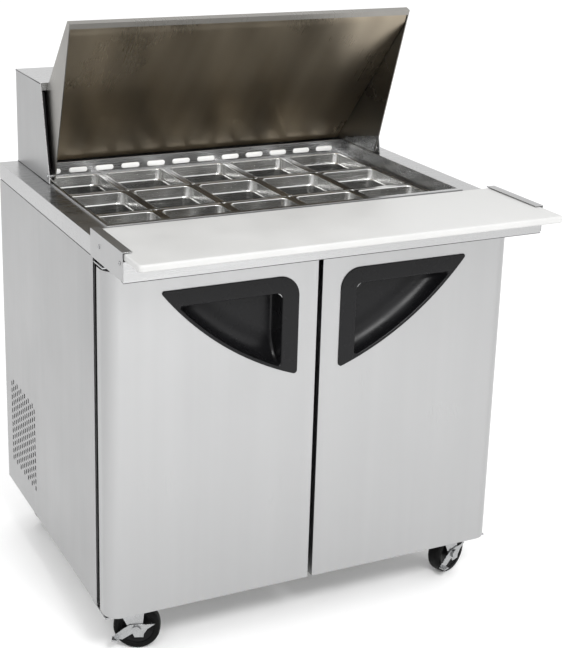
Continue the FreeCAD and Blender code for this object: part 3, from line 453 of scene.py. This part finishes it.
# depth below the flange top, inset from the flange edge and corner radius, in millimetres
PAN_STEPS = ((1.5, 0, 9), (0.4, 0, 9), (0, 0.5, 9), (0, 7.2, 12), (0.6, 8.8, 13), (2.4, 9.6, 14),
             (24, 10.8, 15), (25.5, 12.6, 16), (27, 13.0, 16), (120, 17.0, 20), (138, 18.5, 21),
             (143, 20.5, 22), (145.6, 25.0, 24), (146.4, 33.0, 22))
PAN_SHEET = 0.9 * MM
PAN_COLUMNS = range(1, 6)


def pan_loops(low, high):
    middle = (low + high) / 2
    half = (high - low) / 2
    loops = []
    for depth, inset, radius in PAN_STEPS:
        outline = rounded_rectangle(half.x - inset * MM, half.y - inset * MM, radius * MM)
        loops.append([(middle.x + x, middle.y + y, high.z - depth * MM) for x, y in outline])
    return loops


def food_pans():
    """Drawn steel pans: rolled flange, stacking shoulder, tapered walls and a round-edged floor."""
    for row in ("front", "middle"):
        for column in PAN_COLUMNS:
            node = "pan_%s_%d" % (row, column)
            points, faces = loft(pan_loops(*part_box(node)), cap_first=False)
            item = piece(node + "_drawn", points, faces, "pan_steel", node, [node], closed=False)
            shell(item, PAN_SHEET)
    low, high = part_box("pans_rear_row")
    points = []
    faces = []
    for column in PAN_COLUMNS:
        front_low, front_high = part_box("pan_front_%d" % column)
        near = Vector((front_low.x, low.y, low.z))
        far = Vector((front_high.x, high.y, high.z))
        spots, sides = loft(pan_loops(near, far), cap_first=False)
        faces += [tuple(index + len(points) for index in side) for side in sides]
        points += spots
    item = piece("pans_rear_row_drawn", points, faces, "pan_steel", "pans_rear_row",
                 ["pans_rear_row"], closed=False)
    shell(item, PAN_SHEET)


# ---- door handles -------------------------------------------------------------------------

# millimetres: centre and radius of the lower arc, inner side, top, pocket depth, and the widths
# of the flat band along the top, the inner side and the arc
GRIP_ARC_X = -161.0
GRIP_ARC_Z = 1212.0
GRIP_ARC = 650.0
GRIP_INNER = 48.0
GRIP_TOP = 812.0
GRIP_DEPTH = 38.0
GRIP_BAND = (36.0, 38.0, 7.6)
GRIP_SHEET = 2 * MM


def grip_outline(top, side, arc, corner, foot, tip):
    """Anticlockwise (x, z) outline of the right-hand handle, inset from its top, side and arc."""
    left = GRIP_INNER + side
    level = GRIP_TOP - top
    reach = GRIP_ARC - arc
    foot_z = GRIP_ARC_Z - math.sqrt((reach - foot) ** 2 - (left + foot - GRIP_ARC_X) ** 2)
    tip_x = GRIP_ARC_X + math.sqrt((reach - tip) ** 2 - (GRIP_ARC_Z - level + tip) ** 2)
    foot_turn = math.degrees(math.atan2(foot_z - GRIP_ARC_Z, left + foot - GRIP_ARC_X))
    tip_turn = math.degrees(math.atan2(level - tip - GRIP_ARC_Z, tip_x - GRIP_ARC_X))
    spots = arc_points((left + foot, foot_z), foot, -180, foot_turn, 10)
    spots += arc_points((GRIP_ARC_X, GRIP_ARC_Z), reach, foot_turn, tip_turn, 34)[1:-1]
    spots += arc_points((tip_x, level - tip), tip, tip_turn, 90, 10)
    inner_end = left + corner
    spots += [(tip_x + (inner_end - tip_x) * step / 12, level) for step in range(1, 12)]
    spots += arc_points((inner_end, level - corner), corner, 90, 180, 10)
    low_end = level - corner
    spots += [(left, low_end + (foot_z - low_end) * step / 8) for step in range(1, 8)]
    return spots


def grip_loops(side, front):
    """Loops from the flange's rear edge, over its face and down the pocket to the pocket floor."""
    top, inner, arc = GRIP_BAND
    rows = [(0.0, 0, 0, 0, 44, 7, 5), (1.6, 0, 0, 0, 44, 7, 5), (2.2, 0.4, 0.4, 0.4, 43.6, 6.8, 4.8),
            (2.5, 1.2, 1.2, 1.2, 43, 6.4, 4.6), (2.5, top - 4, inner - 4, arc - 3, 14, 6, 4),
            (2.0, top - 2, inner - 2, arc - 1.6, 13, 6, 4), (0.4, top - 0.5, inner - 0.5, arc, 12, 6, 4)]
    steps = 14
    for step in range(1, steps + 1):
        turn = math.radians(90 * step / steps)
        sweep = 1 - math.cos(turn)
        inset = 3 * math.sin(turn) + 6 * sweep ** 3
        rows.append((-GRIP_DEPTH * math.sin(turn), top + inset, inner + inset, arc + 58 * sweep, 12, 6, 4))
    loops = []
    for proud, *shape in rows:
        outline = grip_outline(*shape)
        loop = [(side * x * MM, front - proud * MM, z * MM) for x, z in outline]
        loops.append(loop if side == 1 else loop[::-1])
    return loops


def door_handles():
    """Moulded pull: flat bevelled band round a pocket whose lower wall sweeps in to the floor."""
    for name, side in (("left", -1), ("right", 1)):
        node = "door_handle_" + name
        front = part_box("door_skin_" + name)[0].y
        points, faces = loft(grip_loops(side, front), cap_first=False)
        item = piece("handle_" + name, points, faces, "black_trim", node, [node], closed=False)
        shell(item, GRIP_SHEET)


# ---- caster wheels ------------------------------------------------------------------------

# radius and half width in millimetres, from the hub side out to the middle of the tread
TYRE_HALF = ((36.0, 12.5), (36.6, 15.0), (38.5, 16.0), (44.0, 16.0), (46.8, 15.2), (48.6, 13.2),
             (49.6, 10.0), (50.0, 5.0))
HUB_HALF = ((6.1, 15.8), (12.4, 16.0), (13.6, 15.2), (14.2, 12.2), (16.0, 10.8), (29.5, 10.2),
            (32.0, 11.2), (34.5, 13.8), (36.3, 13.6))
# part, half profile, finish, inner wall's radius in the middle (0 for none), whether it replaces
WHEEL_PARTS = (("tyre", TYRE_HALF, "wheel_tread", 34.0, True),
               ("hub", HUB_HALF, "wheel_hub", 0, False))


def mirrored_profile(half, close):
    """Whole profile from one half; close is the inner wall's radius in the middle, or 0."""
    forward = [(radius * MM, width * MM) for radius, width in half]
    back = [(radius * MM, -width * MM) for radius, width in reversed(half)]
    return forward + back + ([(close * MM, 0.0)] if close else [])


def caster_wheels():
    """Crowned rubber tyre on a dished hub, turned about the axle of each caster."""
    for corner in ("front_left", "front_right", "rear_left", "rear_right"):
        joint = JOINTS["wheel_spin_" + corner]
        node = "caster_wheel_" + corner
        centre = Vector(joint["pos_m"])
        for part, half, finish, close, stands_in in WHEEL_PARTS:
            points, faces = turned(mirrored_profile(half, close), centre, joint["axis"], 64)
            name = "wheel_%s_%s" % (part, corner)
            piece(name, points, faces, finish, node, [node] if stands_in else [])


# ---- screws and air slots -----------------------------------------------------------------

# shares of the head's radius: the innermost ring, and the cross recess's reach and half width
SCREW_INNER = 0.04
CROSS_REACH = 0.58
CROSS_HALF = 0.12
# how much the crown falls towards the rim, and the recess's depth as a share of the height
SCREW_CROWN = 0.72
CROSS_DEPTH = 0.55


def cross_screw(name, centre, axis, radius, height, like, replaced=()):
    """Pan-head screw with a cross recess; its flat back stands on the centre."""
    axis = Vector(axis).normalized()
    first = axis.orthogonal().normalized()
    second = axis.cross(first)
    segments = 48
    rings = 14
    loops = []
    for ring in range(rings + 1):
        share = 1 - ring / rings * (1 - SCREW_INNER)
        loop = []
        for index in range(segments):
            angle = 2 * math.pi * index / segments
            across, up = share * math.cos(angle), share * math.sin(angle)
            level = height * math.sqrt(1 - SCREW_CROWN * share ** 2) if ring else 0.0
            reach, width = max(abs(across), abs(up)), min(abs(across), abs(up))
            if reach < CROSS_REACH and width < CROSS_HALF:
                level -= height * CROSS_DEPTH
            loop.append(centre + (first * across + second * up) * radius + axis * level)
        loops.append(loop)
    points, faces = loft(loops)
    piece(name, points, faces, "zinc_plate", like, replaced)


def bracket_screws():
    low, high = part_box("bracket_screws")
    radius = (high.z - low.z) / 2
    level = (high.z + low.z) / 2
    height = 2 * MM
    for side, face in ((-1, low.x + height), (1, high.x - height)):
        for spot, deep in (("front", low.y + radius), ("rear", high.y - radius)):
            name = "screw_%s_%s" % ("left" if side < 0 else "right", spot)
            replaced = ["bracket_screws"] if name == "screw_left_front" else []
            cross_screw(name, Vector((face, deep, level)), (side, 0, 0), radius, height,
                        "bracket_screws", replaced)


AIR_SLOTS = 12
AIR_PITCH = 65 * MM
AIR_LEVEL = 897 * MM
AIR_HALF_WIDE = 23 * MM
AIR_HALF_TALL = 6.2 * MM
# how far the back of a slot insert lies behind the pans' rear edge
AIR_BEHIND = 1.3 * MM
# height off the wall and inset from the outline, in millimetres
AIR_STEPS = ((0, 0), (1.2, 0.3), (2.2, 1.2), (2.6, 2.4))


def air_slots():
    """Row of pill-shaped slot inserts along the rear wall of the well, near white as painted light seen
    through the slots.
    """
    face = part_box("pans_rear_row")[1].y + AIR_BEHIND
    for index in range(AIR_SLOTS):
        middle = (index - (AIR_SLOTS - 1) / 2) * AIR_PITCH
        loops = []
        for proud, inset in AIR_STEPS:
            tall = AIR_HALF_TALL - inset * MM
            outline = rounded_rectangle(AIR_HALF_WIDE - inset * MM, tall, tall - 0.05 * MM)
            loops.append([(middle + x, face - proud * MM, AIR_LEVEL + z) for x, z in outline])
        points, faces = loft(loops)
        piece("air_slot_%d" % (index + 1), points, faces, "slot_plastic_painted_light", "well_liner")


# ---- seam shadow strips, painted shade ----------------------------------------------------

def seam_shadow_strip(name, start, end, radius):
    """Round dark strip along a seam between two points: painted shade for the seam's shadow line."""
    run = end - start
    profile = ((0.4 * radius, 0.0), (radius, 0.6 * radius), (radius, run.length - 0.6 * radius),
               (0.4 * radius, run.length))
    points, faces = turned(profile, start, run, 14, wrap=False)
    piece(name, points, faces, "black_trim", "hood_seals")


# radii of the dark strips that paint the seams' shadow lines
SHADOW_STRIP_RADIUS = 0.9 * MM
HEM_SHADOW_STRIP_RADIUS = 0.55 * MM
# the flat top of the hood starts 2 mm in front of this
ROOF_FRONT = 262 * MM


def seam_shadow_strips():
    """Dark strips, painted shade, under the hood's roof edge, along its foot and under the shelf's front
    hem.
    """
    low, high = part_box("hood_housing")
    roof = high.z - 2 * MM
    foot = low.z + 0.8 * MM
    for side, face in (("left", low.x), ("right", high.x)):
        seam_shadow_strip("roof_shadow_strip_" + side, Vector((face, ROOF_FRONT, roof)),
                  Vector((face, high.y, roof)), SHADOW_STRIP_RADIUS)
        seam_shadow_strip("foot_shadow_strip_" + side, Vector((face, low.y, foot)),
                  Vector((face, high.y, foot)), SHADOW_STRIP_RADIUS)
    low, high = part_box("board_shelf")
    hem = low.z + 0.7 * MM
    seam_shadow_strip("shelf_shadow_strip", Vector((low.x, low.y, hem)), Vector((high.x, low.y, hem)),
              HEM_SHADOW_STRIP_RADIUS)


# ---- refrigeration coils ------------------------------------------------------------------

# corner numbers of the six faces of a plate
PLATE_FACES = ((0, 1, 3, 2), (4, 6, 7, 5), (0, 4, 5, 1), (2, 3, 7, 6), (0, 2, 6, 4), (1, 5, 7, 3))
FIN_SHEET = 0.4 * MM
# lowest and highest corner of each fin stack, in metres
CONDENSER_FINS = ((-0.4515, 0.217, 0.152), (-0.4495, 0.428, 0.398))
EVAPORATOR_FINS = ((-0.218, 0.3425, 0.482), (0.088, 0.3455, 0.688))
CONDENSER_COUNT = 84
EVAPORATOR_COUNT = 96


def fin_stack(name, low, high, along, count, like):
    """Row of thin upright plates between two corners, stacked along x or y."""
    axis = "xy".index(along)
    points = []
    faces = []
    for index in range(count):
        start = low[axis] + (high[axis] - low[axis] - FIN_SHEET) * index / (count - 1)
        near, far = list(low), list(high)
        near[axis], far[axis] = start, start + FIN_SHEET
        base = len(points)
        for x in (near[0], far[0]):
            points += [(x, y, z) for y in (near[1], far[1]) for z in (near[2], far[2])]
        faces += [tuple(base + corner for corner in side) for side in PLATE_FACES]
    item = piece(name, points, faces, "coil_fin", like)
    for polygon in item.data.polygons:
        polygon.use_smooth = False


def coils():
    """Fin stacks that stand a little proud of the two coil blocks."""
    fin_stack("condenser_fins", *CONDENSER_FINS, "y", CONDENSER_COUNT, "condenser_coil")
    fin_stack("evaporator_fins", *EVAPORATOR_FINS, "x", EVAPORATOR_COUNT, "evaporator_coil")


cutting_board()
food_pans()
door_handles()
caster_wheels()
bracket_screws()
air_slots()
seam_shadow_strips()
coils()


# ---- stage, light and camera --------------------------------------------------------------

FLOOR_HALF = 40.0
# name, place, target, size in metres and power in watts
LIGHTS = (("key", (-2.7, -3.2, 3.6), (0.0, 0.0, 0.7), (1.3, 1.3), 45.0),
          ("strip", (-0.28, -2.68, 2.69), (0.2, -0.25, 0.67), (0.9, 0.6), 52.0),
          ("fill", (3.5, -2.5, 2.5), (0.0, 0.0, 0.6), (2.5, 2.5), 18.0),
          ("sweep", (0.3, -3.3, 1.3), (0.3, -3.301, 0.0), (1.2, 1.2), 16.0))
SKY_AT_HORIZON = 1.0
SKY_OVERHEAD = 1.30
# fitted to the table's outline in the photo: place in metres, and the camera's three directions
CAMERA_PLACE = (-1.2935, -2.6496, 1.6767)
CAMERA_RIGHT = (0.907872, -0.418810, 0.019141)
CAMERA_UP = (0.104343, 0.269936, 0.957208)
CAMERA_BACK = (-0.406055, -0.867025, 0.288767)
CAMERA_LENS = 77.64
CAMERA_SHIFT = (0.0695, -0.1208)


def make_floor():
    mesh = bpy.data.meshes.new("studio_floor")
    size = FLOOR_HALF
    corners = [(-size, -size, 0), (size, -size, 0), (size, size, 0), (-size, size, 0)]
    mesh.from_pydata(corners, [], [(0, 1, 2, 3)])
    floor = bpy.data.objects.new("studio_floor", mesh)
    bpy.context.collection.objects.link(floor)
    glow = {"Emission Color": (1.0, 1.0, 1.0, 1.0), "Emission Strength": 0.02}
    mesh.materials.append(new_material("studio_paper", (0.90, 0.90, 0.90), 0.0, 0.85, **glow)[0])


def area_light(name, place, target, size, power):
    light = bpy.data.lights.new(name, "AREA")
    light.shape = "RECTANGLE"
    light.size, light.size_y = size
    light.energy = power
    holder = bpy.data.objects.new(name, light)
    holder.location = place
    aim = Vector(target) - Vector(place)
    holder.rotation_euler = aim.to_track_quat("-Z", "Y").to_euler()
    bpy.context.collection.objects.link(holder)


def make_world():
    """White studio sky, brighter overhead than at the horizon."""
    world = bpy.data.worlds.new("studio")
    world.use_nodes = True
    tree = world.node_tree
    place = tree.nodes.new("ShaderNodeTexCoord")
    split = tree.nodes.new("ShaderNodeSeparateXYZ")
    tree.links.new(place.outputs["Generated"], split.inputs["Vector"])
    sky = tree.nodes["Background"]
    sky.inputs["Color"].default_value = (1.0, 1.0, 1.0, 1.0)
    glow = remap(tree, split.outputs["Z"], SKY_AT_HORIZON, SKY_OVERHEAD, 0.0, 1.0)
    tree.links.new(glow, sky.inputs["Strength"])
    bpy.context.scene.world = world


def make_camera():
    """Camera at standing height, about two metres in front of the table and to its left."""
    lens = bpy.data.cameras.new("camera")
    lens.sensor_width = 36.0
    lens.lens = CAMERA_LENS
    lens.shift_x, lens.shift_y = CAMERA_SHIFT
    lens.clip_end = 200.0
    camera = bpy.data.objects.new("camera", lens)
    turn = Matrix((CAMERA_RIGHT, CAMERA_UP, CAMERA_BACK)).transposed().to_4x4()
    camera.matrix_world = Matrix.Translation(CAMERA_PLACE) @ turn
    bpy.context.collection.objects.link(camera)
    bpy.context.scene.camera = camera


make_floor()
make_world()
for light in LIGHTS:
    area_light(*light)
make_camera()
bpy.context.scene.view_settings.view_transform = "Standard"
